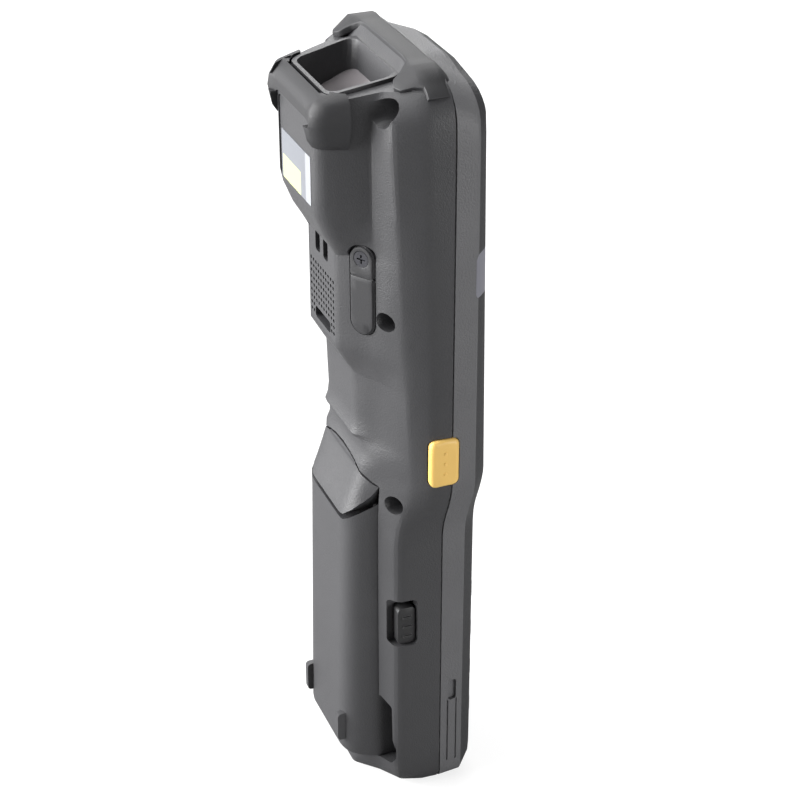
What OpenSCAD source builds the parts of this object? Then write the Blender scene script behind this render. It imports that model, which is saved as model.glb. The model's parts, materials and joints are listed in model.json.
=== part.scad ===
// Portable barcode data terminal: a long case in two halves, a scan head on the back at the top,
// a battery pack in the back at the lower end, a display, a keypad and two side scan keys.
// It stands on its flat lower end. +Z runs along its length, -Y is the display side.

/* [Body] */
// Length from the flat lower end to the crown of the arch
length = 234; // [228:1:290]
// Width of the display end, at the seam
case_w = 68; // [64:1:84]
// Width of the keypad end, at the seam
grip_w = 55; // [54:0.5:60]
// Depth of the front half, from the seam to the front face
front_d = 12.5; // [11.5:0.5:16]
// Height of the lower end of the display end, where the case narrows to the keypad end
step_z = 91; // [90:0.5:93]
// Height that the narrowing takes
step_h = 22; // [20:0.5:24]
// Radius of the two lower corners
foot_r = 4; // [3:0.5:7]
// Height of the rounded top of the case
arch_h = 18; // [16:0.5:22]

/* [Back] */
// Depth of the scan head behind the seam
head_d = 32; // [31:0.5:40]
// Width of the scan head where it leaves the shoulders
head_w = 41.6; // [39:0.2:46]
// Depth of the finger waist behind the seam
waist_d = 19.2; // [19:0.2:21]
// Height of the finger ridge above the waist
ridge_up = 1.8; // [0.6:0.1:2]
// Depth of the speaker spine behind the seam
spine_d = 25; // [24:0.5:27]
// Depth of the rim under the battery, behind the seam
rim_d = 22; // [20:0.5:24]

/* [Battery] */
// Width of the battery pack
battery_w = 39.4; // [36:0.2:40]
// Depth of the battery's back behind the seam
battery_d = 25.6; // [25:0.5:31]
// Height of the battery's lower end
battery_z0 = 9.2; // [9:0.1:12]
// Height of the battery's upper end
battery_z1 = 94.2; // [92:0.1:94.5]
// Travel of the side lock
lock_travel = 3; // [1.5:0.1:3.4]
// Swing of the battery latch that its pocket leaves room for, in degrees
latch_swing = 12; // [6:1:14]

/* [Scanner] */
// Tilt of the scan window
window_tilt = 20.5; // [12:0.5:24]
// Width of the scan window at its front edge
window_w = 28; // [22:0.5:30]

/* [Keys] */
// Spacing of the key columns
key_pitch_x = 11; // [10:0.1:11.2]
// Spacing of the key rows
key_pitch_z = 14.5; // [11.5:0.1:14.5]
// Width of a number key
key_w = 8.8; // [7:0.1:9]
// Height of a number key
key_h = 8.8; // [7:0.1:9.4]
// How far a key stands above the front face
key_up = 1; // [0.6:0.1:1.4]
// Travel of a key
key_travel = 0.8; // [0.4:0.1:1]
// Outer diameter of the direction key
nav_d = 24; // [21:0.5:24.5]
// Length of a side scan key
side_key_l = 15; // [12:0.5:18]
// Width of a side scan key, across the seam
side_key_w = 8.6; // [7:0.2:10]

/* [Screen] */
// Width of the display glass
glass_w = 55; // [50:0.5:57]
// Height of the display glass
glass_h = 84; // [70:1:86]

/* [Ports] */
// Radius of the headset socket
jack_r = 1.8; // [1.3:0.05:2]
// Width of the port cover
cover_w = 8; // [7:0.2:9]
// Length of the port cover
cover_l = 27; // [24:0.5:30]

/* [Fits] */
// Wall of the front half
wall = 2.2; // [1.8:0.1:2.6]
// Gap round a moving or fitted piece
gap = 0.3; // [0.2:0.05:0.4]
// Radial clearance of a pin in a bore that turns on it
pin_gap = 0.05; // [0.02:0.01:0.1]
// Radius of a case screw's shank
screw_r = 1.25; // [1:0.05:1.5]
// Radius of a case screw's head
screw_head_r = 2.3; // [2:0.05:2.6]
// Radius of the wells that the case screws lie in
well_r = 2.8; // [2.7:0.05:3]

/* [Hidden] */
NUMBERS = ["1", "2", "3", "4", "5", "6", "7", "8", "9", "10", "11", "12", "13", "14", "15", "16"];
$fn = 48;

// The seam plane is y = 0 in every module; this brings the middle of the depth to the origin.
bumper_out = 2.3;
seam_y = -(head_d + bumper_out - front_d - key_up) / 2;

// Colours
case_grey = [0.21, 0.21, 0.22];
rubber_grey = [0.16, 0.16, 0.17];
key_yellow = [0.93, 0.72, 0.25];
steel = [0.7, 0.7, 0.72];

// Front half: its layers from the seam forwards, as [distance in front of the seam, inset,
// how far the crown sinks in the middle, how much more at its corners, how far the foot is lifted]
chamfer_d = 5;
chamfer_in = 3.9;
reveal = 0.5;
front_layers = [[0, reveal, 0.7, 0.4, 0], [reveal, reveal, 0.7, 0.4, 0], [reveal + 0.1, 0, 0.7, 0.4, 0],
    [front_d - chamfer_d, 0.2, 0.9, 2.8, 0.3], [front_d - 0.9, chamfer_in, 0, 1.2, 1.5],
    [front_d, chamfer_in + 1.4, 0.2, 1.4, 2.5]];
// The display end's front face leans back by this much over its height
lean_d = 1.5;
cavity_in = 5.2;
seal_in = [3.7, 4.5];
cavity_d = front_d - wall;
board_y = -3.6;
board_t = 1.6;

// Heights measured down from the crown, so that the head keeps its form on a longer case
head_low = length - 54;
head_full = length - 38;
label_z = length - 39;
shoulder_z = length - 12;
rim_rear_z = length - 8.5;
rim_front_z = length - 5.3;
recess_rear_y = 26.5;
recess_front_y = 9;
band_d = 6.3;

// Spine with the speaker grille, just under the head
spine_top = head_low + 0.5;
spine_low = head_low - 30;
spine_foot = spine_low - 7.5;
spine_w = 21;

// Waist, ridge and latch
hump_apex = battery_z1 + 18.8;
lip_z = battery_z1 + 1.3;
lip_rise = 12;
ridge_z = hump_apex + 8.7;
bay_y = 5.2;
bay_w = battery_w + 2 * gap;
side_corner_y = 16.5;

// Screws of the case, as [half spacing, height]
screw_x = 24.5;
screw_seat = 4;
screw_head_t = 1.8;
screw_z = [step_z + 12.5, spine_low + 13, length - 10.5];

// ---- helpers -------------------------------------------------------------------------------
function mix(a, b, t) = a + (b - a) * t;
function smooth(t) = t * t * (3 - 2 * t);
function unit(v) = v / norm(v);
function flip_x(list) = [for (i = [len(list) - 1:-1:0]) [-list[i].x, list[i].y]];
function symmetric(half) = concat(half, flip_x(half));
function straight(u, v) = norm(u + v) < 0.05;

// An arc of n + 1 points that rounds the corner b between a and c, never past the edges' middles
function fillet(a, b, c, r, n) =
    let (u = unit(a - b), v = unit(c - b))
    straight(u, v) ? [for (i = [0:n]) b + (i < n / 2 ? u : v) * abs(1 - 2 * i / n) * 0.5] :
    let (half = acos(u * v) / 2,
         run = min(r / tan(half), 0.46 * norm(a - b), 0.46 * norm(c - b)),
         radius = run * tan(half),
         centre = b + unit(u + v) * radius / sin(half),
         p = b + u * run - centre,
         q = b + v * run - centre,
         start = atan2(p.y, p.x),
         turn = (atan2(q.y, q.x) - start + 540) % 360 - 180)
    [for (i = [0:n]) centre + radius * [cos(start + turn * i / n), sin(start + turn * i / n)]];

// A closed outline with each corner rounded
function rounded(points, r, n) =
    let (m = len(points))
    [for (i = [0:m - 1]) each fillet(points[(i + m - 1) % m], points[i], points[(i + 1) % m], r, n)];
function box_2d(x0, y0, x1, y1) = [[x0, y0], [x1, y0], [x1, y1], [x0, y1]];
function round_box(x0, y0, x1, y1, r, n = 4) = rounded(box_2d(x0, y0, x1, y1), r, n);
function centred(w, h, r, n = 4) = round_box(-w / 2, -h / 2, w / 2, h / 2, r, n);

// A closed solid through rings of the same number of points. The rings run anticlockwise as seen
// against the direction they are stacked in. The caps are ladders between mirrored points.
module skin(rings) {
    n = len(rings[0]);
    last = (len(rings) - 1) * n;
    sides = [for (k = [0:len(rings) - 2], i = [0:n - 1])
        let (a = k * n + i, b = k * n + (i + 1) % n)
        each [[a, a + n, b + n], [a, b + n, b]]];
    low = [for (i = [0:n / 2 - 2]) [i, i + 1, n - 2 - i, n - 1 - i]];
    high = [for (f = low) [for (j = [3:-1:0]) f[j] + last]];
    polyhedron([for (ring = rings) each ring], concat(sides, low, high), convexity = 6);
}
function at_z(ring, z) = [for (p = ring) [p.x, p.y, z]];
function at_y(ring, y) = [for (p = ring) [p.x, y, p.y]];

// Prisms of a 2-D outline: (x, z) along Y, (y, z) along X
module along_y(y0, y1) translate([0, y1, 0]) rotate([90, 0, 0]) linear_extrude(y1 - y0) children();
module along_x(x0, x1) translate([x0, 0, 0]) rotate([90, 0, 90]) linear_extrude(x1 - x0) children();
module along_z(z0, z1) translate([0, 0, z0]) linear_extrude(z1 - z0) children();
module rod_y(x, z, r, y0, y1) translate([x, y0, z]) rotate([-90, 0, 0]) cylinder(h = y1 - y0, r = r);
module rod_x(y, z, r, x0, x1) translate([x0, y, z]) rotate([0, 90, 0]) cylinder(h = x1 - x0, r = r);
module both_sides() {
    children();
    mirror([1, 0, 0]) children();
}

// ---- outline of the case in the seam plane -------------------------------------------------
arch_n = 3.5;
step_top = step_z + step_h;
function arch_w(z) =
    let (u = min(1, max(0, (z - length + arch_h) / arch_h)))
    case_w / 2 * pow(1 - pow(u, arch_n), 1 / arch_n);
function foot_w(z) =
    let (u = 1 - min(1, z / foot_r))
    grip_w / 2 - foot_r * (1 - sqrt(1 - u * u));
function step_w(z) = mix(grip_w / 2, case_w / 2, smooth((z - step_z) / step_h));
function half_w(z) = z <= step_z ? foot_w(z) : z < step_top ? step_w(z) : arch_w(z);
function arch_point(a) = [case_w / 2 * pow(cos(a), 2 / arch_n), length - arch_h + arch_h * pow(sin(a), 2 / arch_n)];
function foot_arc(inset) =
    let (r = max(foot_r - inset, 0.4))
    [for (a = [-90:22.5:0]) [grip_w / 2 - inset - r + r * cos(a), inset + r + r * sin(a)]];
right_side = concat(
    [for (i = [0:8]) [step_w(step_z + step_h * i / 8), step_z + step_h * i / 8]],
    [for (a = [0, 12, 24, 36, 48, 60, 72, 84]) arch_point(a)]);
function normal_at(i) =
    i == 0 ? [1, 0] : i == len(right_side) - 1 ? [0, 1] :
    let (t = unit(right_side[i + 1] - right_side[i - 1])) [t.y, -t.x];
// The crown of the front half sinks towards its front and its corners
function sunk(p, middle, corner) =
    let (rise = max(0, min(1, (p.y - length + arch_h) / arch_h * 2)),
         out = min(1, p.x / 16))
    [p.x, p.y - rise * (middle + corner * out * out)];
// The seam's outline, moved inwards; it starts at the lower end
function outline(inset, middle = 0, corner = 0, lift = 0) =
    symmetric(concat([for (p = foot_arc(inset)) p + [0, lift]],
        [for (i = [0:len(right_side) - 1]) sunk(right_side[i] - normal_at(i) * inset, middle, corner)]));

// ---- the solid form of each half, before it is hollowed and split --------------------------
lean_a = atan(lean_d / (length - arch_h - step_top));
function leant(z) = max(0, z - step_top) * tan(lean_a);
module front_form()
    skin([for (l = front_layers)
        [for (p = outline(l[1], l[2], l[3], l[4])) [p.x, -l[0] + leant(p.y) * l[0] / front_d, p.y]]]);
// Tilts what lies in the display end's face with it
module on_display()
    translate([0, -front_d, step_top]) rotate([-lean_a, 0, 0]) translate([0, front_d, -step_top]) children();

// One section of the back: seam, side crease, shoulder crease, foot of the bulge, bulge corner.
// side and shoulder are [inset from the seam's half width, depth]; foot and crest are [x, depth].
function section(z, side, shoulder, foot, crest, r) =
    let (w = half_w(z),
         a = [w, 0],
         b = [w - side.x, side.y],
         c = [w - shoulder.x, shoulder.y],
         middle = [0, crest.y + 0.3])
    at_z(symmetric(concat([a], fillet(a, b, c, 2, 1), fillet(b, c, foot, 2.5, 2),
        fillet(c, foot, crest, 1.6, 2), fillet(foot, crest, middle, r, 5))), z);

grip_side = [0.2, 6];
grip_shoulder = [0.7, 13.3];
pack_foot = [bay_w / 2, side_corner_y];
// The battery's back comes out a little towards its lower end
pack_lean = 1.6;
pack_crest = [bay_w / 2 - 3.9, battery_d - 0.6];
pack_low = pack_crest + [0, pack_lean];
waist_foot = [18, waist_d - 3.2];
waist_crest = [11, waist_d];
hollow_foot = [19, waist_d - 2.6];
head_foot = [head_w / 2, 18];
head_crest = [head_w / 2 - 5.3, head_d];
spine_crest = [spine_w / 2 + 0.5, spine_d];
spine_foot_x = [19.2, 18.6];
function side_at(z) = [0.8, mix(5.4, 7.4, (z - step_top) / (length - 18 - step_top))];
function shoulder_at(z) = [4.5, mix(10, 15.8, (z - step_top) / (length - 18 - step_top))];
function plain(z, foot, crest, r) = section(z, side_at(z), shoulder_at(z), foot, crest, r);

back_sections = [
    section(0, [0.3, 4], [2.4, 9.5], [15.5, 14.5], [9.5, rim_d - 1.5], 3),
    section(1.2, [0.3, 5], [2.4, 11], [17, 15.5], [10.5, rim_d - 0.4], 3.5),
    section(foot_r, [0.3, 5.6], [1.4, 12.6], [19, 16], [12, rim_d], 4),
    section(battery_z0 - 0.7, grip_side, grip_shoulder, [19.9, side_corner_y], [12.6, rim_d], 5),
    section(battery_z0, grip_side, grip_shoulder, pack_foot, pack_low - [0.8, 1.2], 7),
    section(battery_z0 + 1.6, grip_side, grip_shoulder, pack_foot, pack_low - [0.1, 0.2], 7),
    section(battery_z0 + 3.4, grip_side, grip_shoulder, pack_foot, pack_low, 7),
    section(step_z, grip_side, grip_shoulder, pack_foot, pack_crest, 7),
    section(step_z + 5, [0.3, 5.8], [1.4, 12.8], pack_foot, pack_crest, 7),
    section(step_z + 7.5, [0.4, 5.7], [1.9, 12.4], pack_foot, pack_crest - [0.2, 0.9], 7),
    section(step_z + 10, [0.5, 5.6], [2.6, 11.8], pack_foot - [0.1, 0], pack_crest - [0.5, 1.9], 7),
    section(step_z + 13, [0.6, 5.5], [3.4, 11.2], pack_foot - [0.3, 0], pack_crest - [0.9, 3], 7),
    section(step_z + 16, [0.7, 5.4], [4.1, 10.6], pack_foot - [0.6, 0], pack_crest - [1.3, 4.1], 6),
    section(step_z + 19, [0.8, 5.4], [4.4, 10.3], pack_foot - [0.9, 0], pack_crest - [1.7, 5.1], 5),
    plain(hump_apex - 0.3, hollow_foot, waist_crest + [3.4, 0.4], 4),
    plain(hump_apex + 2.2, hollow_foot, waist_crest + [3, -0.6], 3.5),
    plain(ridge_z - 3.8, hollow_foot - [0.2, 0], waist_crest + [2, -0.8], 3.5),
    plain(ridge_z - 1.8, hollow_foot - [0.6, 0.2], waist_crest + [0.7, -0.4], 3.5),
    plain(ridge_z - 0.8, waist_foot, waist_crest + [0.2, 0.8 * ridge_up], 3),
    plain(ridge_z + 0.2, waist_foot, waist_crest + [0.2, ridge_up], 3),
    plain(ridge_z + 2.2, waist_foot, waist_crest + [0, 0.6 * ridge_up], 4),
    plain(ridge_z + 5, waist_foot, waist_crest + [0.5, 0.5], 5),
    plain(spine_foot - 0.5, waist_foot + [0.5, 0.5], waist_crest + [0.5, 1], 5),
    plain(spine_foot, waist_foot + [0.8, 1], waist_crest + [0.5, 1.5], 4),
    plain(spine_low, spine_foot_x, spine_crest, 3),
    plain(head_low - 1, spine_foot_x, spine_crest, 3),
    plain(head_low + 1.5, head_foot - [0.6, 0.4], [head_crest.x - 2.4, head_d - 5.8], 4),
    plain(head_low + 6, head_foot - [0.1, 0.2], [head_crest.x - 0.8, head_d - 3.2], 5),
    plain(head_low + 12, head_foot, [head_crest.x, head_d - 0.8], 5),
    plain(head_full, head_foot, head_crest, 5),
    plain(shoulder_z - 6, head_foot, head_crest, 5),
    section(shoulder_z, [0.9, 7.4], [5.2, 15.6], head_foot, head_crest, 5),
    section(length - 8.5, [1.2, 7], [6.4, 13.6], head_foot - [0, 1.2], head_crest, 5),
    section(length - 5.5, [1.4, 6.4], [6.6, 11], head_foot - [0.4, 4], head_crest, 5),
    section(length - 3.6, [1.4, 5.8], [5.6, 8.6], head_foot - [1.4, 8], [15, 20], 3),
    section(length - 2, [1, 5], [3, 7.2], [19, 8.2], [12, 9], 3),
    section(length - 0.7, [0.6, 4], [1.8, 6.6], [15, 7.6], [9, 8], 2),
    section(length - 0.02, [0.4, 3.4], [1.4, 5.4], [6, 6.2], [3, 6.6], 2)];

// What is taken off above the scan head, so that its top slopes up to the band on the crown
module above_head()
    along_x(-case_w, case_w)
        polygon([[60, bar_z0 + 1], [head_d + 0.2, bar_z0 + 2], [head_d - 1.8, bar_z0 + 4.6], [recess_rear_y, rim_rear_z],
            [recess_front_y, rim_front_z], [band_d, length - 0.8], [band_d, length + 20], [60, length + 20]]);

module rear_form() {
    difference() {
        skin(back_sections);
        above_head();
    }
    recess_rim();
}

// ---- rubber bumpers ------------------------------------------------------------------------
// The front one runs over the crown and swells at the two corners.
band_t = 1.6;
corner_a = 59;
function swell(a) = let (d = (a > 90 ? 180 - a : a) - corner_a) exp(-pow(d / 11, 4));
function crown_point(a) = a <= 90 ? arch_point(a) : let (p = arch_point(180 - a)) [-p.x, p.y];
function crown_normal(a) = let (t = unit(crown_point(a + 1) - crown_point(a - 1))) [t.y, -t.x];
function band_ring(a) =
    let (s = swell(a),
         p = crown_point(a),
         n = crown_normal(a),
         up = mix(0.15, 0.9, s),
         down = mix(band_t, 5, s),
         back = mix(band_d + 0.2, 12.6, s),
         front = mix(0.6, -2.6, s),
         half = [[front, -mix(band_t, 3.2, s)], [front, up - 0.15 - 3.2 * s], [front + 2.6 * s + 0.3, up],
             [back - 5.6 * s - 0.3, up], [back, up - 0.15 - 4.2 * s], [back - 0.6 * s, -down]])
    [for (q = half) [p.x + n.x * q[1], q[0], p.y + n.y * q[1]]];
half_angles = [30, 38, 43, 48, 52, 59, 66, 70, 74, 79, 84];
band_angles = concat(half_angles, [90], [for (i = [10:-1:0]) 180 - half_angles[i]]);
module front_bumper_form() skin([for (a = band_angles) band_ring(a)]);

// The rear one wraps the two back corners of the scan head and joins them with a bar.
corner_z0 = length - 22.4;
bar_z0 = length - 14.5;
bar_half = 14;
bar_out = 0.6;
bar_inner_y = head_d - 2.8;
corner_y = 23.8;
bumper_t = 1.6;
function corner_ring(z, out, top_in) =
    let (x = head_foot.x - 5.3 * (corner_y - head_foot.y) / (head_d - head_foot.y))
    at_z(symmetric(concat([[x + out, corner_y]],
        fillet([x + out, corner_y], [head_crest.x + out, head_d + out - top_in], [0, head_d + out - top_in],
            6, 6))), z);
module rear_bumper_form()
    difference() {
        skin([corner_ring(corner_z0, -1.4, 0), corner_ring(corner_z0 + 0.8, 0.4, 0), corner_ring(corner_z0 + 3, 1.5, 0),
            corner_ring(bar_z0, bumper_out + 0.4, 0.4), corner_ring(bar_z0 + 3, bumper_out + 0.3, 0.8),
            corner_ring(bar_z0 + 6, bumper_out - 0.3, 2), corner_ring(rim_rear_z + 1.2, 0.6, 3.4),
            corner_ring(rim_rear_z + 1.8, -0.6, 4.4)]);
        // The hollow that the head fills
        skin([for (l = [[corner_z0 - 1, 0], [rim_rear_z - 1.6, 0], [rim_rear_z + 4, 4]])
            at_z(symmetric(concat([[head_foot.x - bumper_t - 1.3, corner_y - 1]],
                fillet([head_foot.x - bumper_t - 1.3, corner_y - 1], [head_crest.x - bumper_t, head_d - bumper_t - l[1]],
                    [0, head_d - bumper_t - l[1]], 4, 6))), l[0])]);
        // Between the corners the bar stands back, and its face leans forwards
        along_z(bar_z0 - 1, length)
            polygon(symmetric([[bar_half, head_d + bar_out], [bar_half + 2.5, head_d + 2], [bar_half + 2.5, head_d + 9]]));
        along_x(-bar_half - 1.2, bar_half + 1.2)
            polygon([[head_d + bar_out, bar_z0 + 3.4], [head_d + 9, bar_z0 + 3.4], [head_d + 9, length],
                [bar_inner_y - 2, length], [bar_inner_y - 2, rim_rear_z + 1], [head_d - 2.6, rim_rear_z + 1]]);
        // Under the bar the back of the head is open
        along_y(head_d - 8, head_d + 8)
            polygon(round_box(1.8 - head_crest.x, corner_z0 - 20, head_crest.x - 1.8, bar_z0, 3));
        along_y(corner_y - 1, bar_inner_y)
            polygon(box_2d(3 - head_crest.x, corner_z0 - 1, head_crest.x - 3, length + 5));
    }

module front_bumper() color(rubber_grey) front_bumper_form();
module rear_bumper() color(rubber_grey) rear_bumper_form();

// ---- scan recess and window ----------------------------------------------------------------
window_y = 17;
window_z = length - 14.6;
function window_height(y) = window_z - (y - window_y) * tan(window_tilt);
function recess_ring(x_rear, x_front, y_rear, y_front, grow) =
    rounded([[-x_front - grow, y_front - grow], [x_front + grow, y_front - grow],
        [x_rear + grow, y_rear + grow], [-x_rear - grow, y_rear + grow]], 3.2, 4);
function on_glass(ring, up) = [for (p = ring) [p.x, p.y, window_height(p.y) + up]];
rear_w = window_w - 3.4;
window_ring = recess_ring(rear_w / 2, window_w / 2, 24, 9.8, 0);
module tapered(low, high) {
    n = len(low);
    polyhedron(concat(low, high), concat(
        [for (i = [0:n - 1]) let (j = (i + 1) % n) each [[i, i + n, j + n], [i, j + n, j]]],
        [[for (i = [0:n - 1]) i]], [[for (i = [n - 1:-1:0]) i + n]]), convexity = 4);
}
module scan_recess()
    tapered(on_glass(window_ring, 0), at_z(recess_ring(rear_w / 2 + 3, window_w / 2 + 3.6, 30.6, 7.6, 0), length + 5));
// A raised rim round the recess, as high as rim_up above the top of the head
rim_up = 1.1;
rim_w = 1.4;
function top_height_at(y) =
    mix(rim_front_z, rim_rear_z, (y - recess_front_y) / (recess_rear_y - recess_front_y));
function rim_ring(up) =
    [for (p = recess_ring(rear_w / 2 + 1.2, window_w / 2 + 1.4, recess_rear_y, recess_front_y, rim_w))
        [p.x, p.y, top_height_at(p.y) + up]];
module recess_rim() tapered(rim_ring(-4), rim_ring(rim_up));
window_t = 1.2;
seal_t = 0.8;
module window_seat() tapered(on_glass(recess_ring(rear_w / 2, window_w / 2, 24, 9.8, 0.9), -window_t - seal_t),
    on_glass(recess_ring(rear_w / 2, window_w / 2, 24, 9.8, 0.9), 0.01));
module scan_window()
    color([0.25, 0.05, 0.06, 0.8])
        tapered(on_glass(recess_ring(rear_w / 2, window_w / 2, 24, 9.8, 0.7), -window_t),
            on_glass(recess_ring(rear_w / 2, window_w / 2, 24, 9.8, 0.7), -0.02));
module window_gasket()
    color("black")
        difference() {
            tapered(on_glass(recess_ring(rear_w / 2, window_w / 2, 24, 9.8, 0.7), -window_t - seal_t),
                on_glass(recess_ring(rear_w / 2, window_w / 2, 24, 9.8, 0.7), -window_t));
            tapered(on_glass(recess_ring(rear_w / 2, window_w / 2, 24, 9.8, -1.5), -window_t - seal_t - 1),
                on_glass(recess_ring(rear_w / 2, window_w / 2, 24, 9.8, -1.5), -window_t + 1));
        }
engine_z0 = length - 43;
engine_z1 = length - 26;
module engine_room() {
    along_z(engine_z0 - 3, engine_z1 + 3) polygon(round_box(-13.5, -1, 13.5, head_d - 3.2, 2));
    along_z(engine_z1, window_z) polygon(round_box(2.6 - rear_w / 2, 11.6, rear_w / 2 - 2.6, 22, 2));
}
module scan_engine()
    color([0.1, 0.1, 0.11])
        difference() {
            along_z(engine_z0, engine_z1) polygon(round_box(-10.5, 9, 10.5, 25, 1));
            along_z(engine_z1 - 3, engine_z1 + 1) polygon(round_box(-7.5, 12, 7.5, 22, 1.5));
        }
bracket_t = 1.2;
module engine_bracket()
    color(steel)
        difference() {
            along_x(-10.5 - bracket_t, 10.5 + bracket_t)
                polygon([[board_y, engine_z0 - bracket_t], [27, engine_z0 - bracket_t], [27, engine_z1 - 5],
                    [25, engine_z1 - 5], [25, engine_z0], [9, engine_z0], [9, engine_z1 - 2],
                    [9 - bracket_t, engine_z1 - 2], [9 - bracket_t, engine_z0], [board_y, engine_z0]]);
            rod_y(0, engine_z0 + 6, 2, 5, 12);
        }

// ---- port cover on the left shoulder -------------------------------------------------------
cover_turn = 34;
cover_at = [-17.6, 19.2];
cover_z = spine_low + 20.5;
cover_t = 2.4;
cover_fold = cover_z + 4.2;
module on_shoulder() translate([cover_at.x, cover_at.y, 0]) rotate([0, 0, cover_turn]) children();
module capsule(w, z0, z1) {
    polygon(box_2d(-w / 2, z0 + w / 2, w / 2, z1 - w / 2));
    translate([0, z0 + w / 2]) circle(d = w);
    translate([0, z1 - w / 2]) circle(d = w);
}
cover_z0 = cover_z - cover_l / 2;
cover_z1 = cover_z + cover_l / 2;
cover_base = -0.9;
cover_screw_z = cover_z1 - cover_w / 2;
module cover_body() {
    along_y(cover_base, cover_base + cover_t - 0.5) capsule(cover_w, cover_z0, cover_z1);
    along_y(cover_base, cover_base + cover_t) capsule(cover_w - 0.9, cover_z0 + 0.45, cover_z1 - 0.45);
}
module port_cover_tab()
    color(case_grey)
        on_shoulder()
            difference() {
                cover_body();
                along_y(-5, 5) polygon(box_2d(-9, cover_z0 - 5, 9, cover_fold + 0.15));
                rod_y(0, cover_screw_z, screw_head_r + 0.05, cover_base + cover_t - 1, 5);
                rod_y(0, cover_screw_z, screw_r + 0.05, -5, 5);
            }
module port_cover_flap()
    color(case_grey)
        on_shoulder()
            difference() {
                cover_body();
                along_y(-5, 5) polygon(box_2d(-9, cover_fold - 0.15, 9, cover_z1 + 5));
                along_y(cover_base - 1, cover_base + 0.5) capsule(cover_w - 2.4, cover_z0 + 1.2, cover_fold - 1.4);
            }
module port_cover_screw()
    color(steel)
        on_shoulder()
            difference() {
                union() {
                    rod_y(0, cover_screw_z, screw_head_r, cover_base + cover_t - 1, cover_base + cover_t - 0.05);
                    rod_y(0, cover_screw_z, screw_r, cover_base - 5, cover_base + cover_t - 1);
                }
                along_y(cover_base + cover_t - 0.6, cover_base + cover_t + 1) {
                    translate([0, cover_screw_z]) square([2.6, 0.5], center = true);
                    translate([0, cover_screw_z]) square([0.5, 2.6], center = true);
                }
            }
module port_room()
    on_shoulder() {
        along_y(cover_base, 8) capsule(cover_w + 2 * gap, cover_z0 - gap, cover_z1 + gap);
        along_y(cover_base - gap, 1) capsule(cover_w + 2 * gap, cover_z0 - gap, cover_fold + cover_w / 2);
        along_y(cover_base - 1.6, 1) capsule(cover_w - 2, cover_z0 + 1, cover_fold - 1.6);
        rod_y(0, jack_z, jack_r + 1.6, jack_y0, 1);
        rod_y(0, cover_screw_z, screw_r, cover_base - 5, 1);
    }
jack_z = cover_z - 5;
jack_y0 = -13;
jack_y1 = cover_base - 1.6;
module headset_jack()
    color([0.08, 0.08, 0.09])
        on_shoulder()
            difference() {
                rod_y(0, jack_z, jack_r + 1.6, jack_y0, jack_y1);
                rod_y(0, jack_z, jack_r, jack_y0 + 1.4, jack_y1 + 1);
            }

// ---- speaker and its grille ----------------------------------------------------------------
grille_y0 = spine_d - 2.2;
grille_w = spine_w - 1.5;
slot_w = 12;
slot_z = spine_low + 4;
hole_pitch = 2;
hole_r = 0.55;
strap_slot = [3.6, 6];
strap_slot_x = 3.1;
strap_slot_z = spine_top - 3.7;
module grille_outline(grow)
    polygon(round_box(-grille_w / 2 - grow, spine_low + 1 - grow, grille_w / 2 + grow, spine_top + grow, 1));
module grille_holes() {
    for (row = [0:6], col = [-4.5:1:4.5])
        translate([col * 1.95, slot_z + 3.6 + row * hole_pitch]) circle(r = hole_r, $fn = 16);
    for (row = [-2:-1], col = [-4.5, -3.6, 3.6, 4.5])
        translate([col * 1.95, slot_z + 3.6 + row * hole_pitch]) circle(r = hole_r, $fn = 16);
}
module speaker_grille()
    color(case_grey)
        along_y(grille_y0, spine_d)
            difference() {
                grille_outline(0);
                grille_holes();
                polygon(round_box(-slot_w / 2, slot_z - 1.7, slot_w / 2, slot_z + 1.7, 1));
                for (s = [-1, 1])
                    translate([s * strap_slot_x, strap_slot_z]) polygon(centred(strap_slot.x, strap_slot.y, 1));
            }
speaker_z = slot_z + 6.5;
module grille_room() {
    along_y(grille_y0, spine_d + 5) grille_outline(0);
    along_y(8, spine_d) polygon(round_box(-8.6, slot_z - 2.4, 8.6, strap_slot_z - 4.6, 2));
    along_y(grille_y0 - 3.4, spine_d) polygon(round_box(-7.2, strap_slot_z - 3.6, 7.2, strap_slot_z + 3.6, 2));
}
module speaker()
    color([0.15, 0.15, 0.16])
        difference() {
            union() {
                rod_y(0, speaker_z, 7.6, 14, 18);
                rod_y(0, speaker_z, 5, 8.02, 14);
            }
            rod_y(0, speaker_z, 6.4, 16.6, 19);
        }

// ---- battery, its latch and its lock -------------------------------------------------------
edge_steps = [0, 0.3, 0.5, 0.65, 0.78, 0.88, 0.95];
function whole(half) = concat(half, flip_x([for (i = [1:len(half) - 2]) half[i]]));
// Both the battery's upper edge and the latch's lip rise towards the sides
function side_rise(x) = pow(max(0, (x - 11) / (bay_w / 2 - 11)), 1.9);
function pack_top(x) = battery_z1 + gap + (lip_rise - 4) * side_rise(x);
function bay_outline(shrink) =
    let (w = bay_w / 2 - shrink)
    whole(concat([[0, battery_z0 - gap + shrink], [w, battery_z0 - gap + shrink], [w, pack_top(w) - shrink]],
        [for (i = [len(edge_steps) - 1:-1:0]) [edge_steps[i] * w, pack_top(edge_steps[i] * w) - shrink]]));
module battery_bay() along_y(bay_y, 60) polygon(bay_outline(0));
rib_x = 13.6;
rib_z = [battery_z0 + 5.4, battery_z0 + 15.4];
module battery_pack()
    color([0.24, 0.24, 0.25]) {
        intersection() {
            skin(back_sections);
            along_y(bay_y + gap, 60) polygon(bay_outline(gap));
        }
        for (s = [-1, 1])
            translate([s * rib_x, 0, 0])
                along_x(-1, 1)
                    polygon(round_box(battery_d - 4, rib_z[0], battery_d + pack_lean + 1, rib_z[1], 1.2));
    }

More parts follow.
